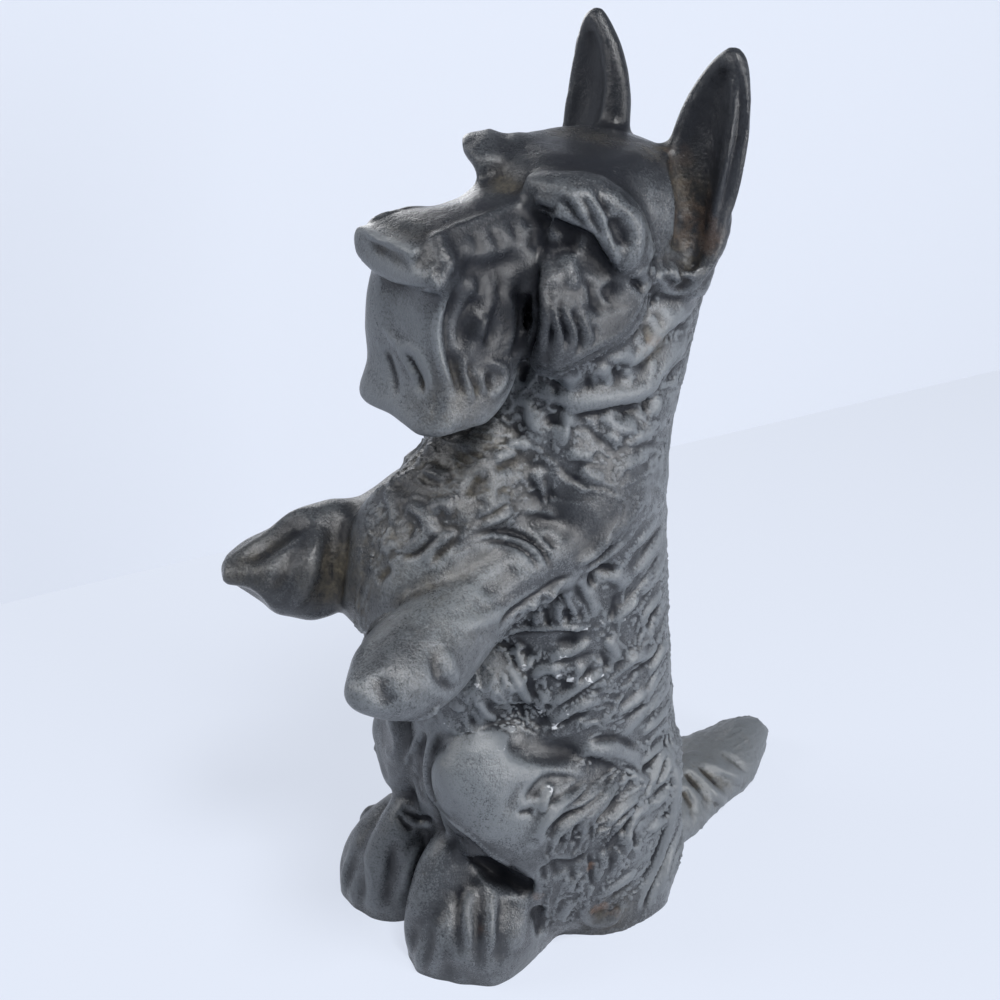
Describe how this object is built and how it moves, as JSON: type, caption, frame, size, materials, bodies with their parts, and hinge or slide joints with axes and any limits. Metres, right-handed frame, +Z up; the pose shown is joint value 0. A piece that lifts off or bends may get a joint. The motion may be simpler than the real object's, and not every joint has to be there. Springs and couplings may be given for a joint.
{
  "type": "figural doorstop",
  "caption": "Heavy hollow cast iron doorstop shaped as a terrier sitting up to beg, two half castings joined by screws.",
  "frame": {"origin": "centre of the footprint's bounding box, on the surface that the doorstop stands on", "axes": "+Z up, the dog looks along -Y, +X is the dog's left side; the seam between the halves is the plane X = 0"},
  "size_m": [0.1172, 0.2974, 0.38],
  "materials": {
    "casting_left": "semi-gloss black paint over sandy cast iron, dusty in the hollows",
    "casting_right": "semi-gloss black paint over sandy cast iron, dusty in the hollows",
    "screw_steel": "dull, lightly rusted"
  },
  "bodies": {
    "root": {"left_half": "casting_left", "right_half": "casting_right", "lower_screw": "screw_steel", "upper_screw": "screw_steel"}
  },
  "joints": []
}
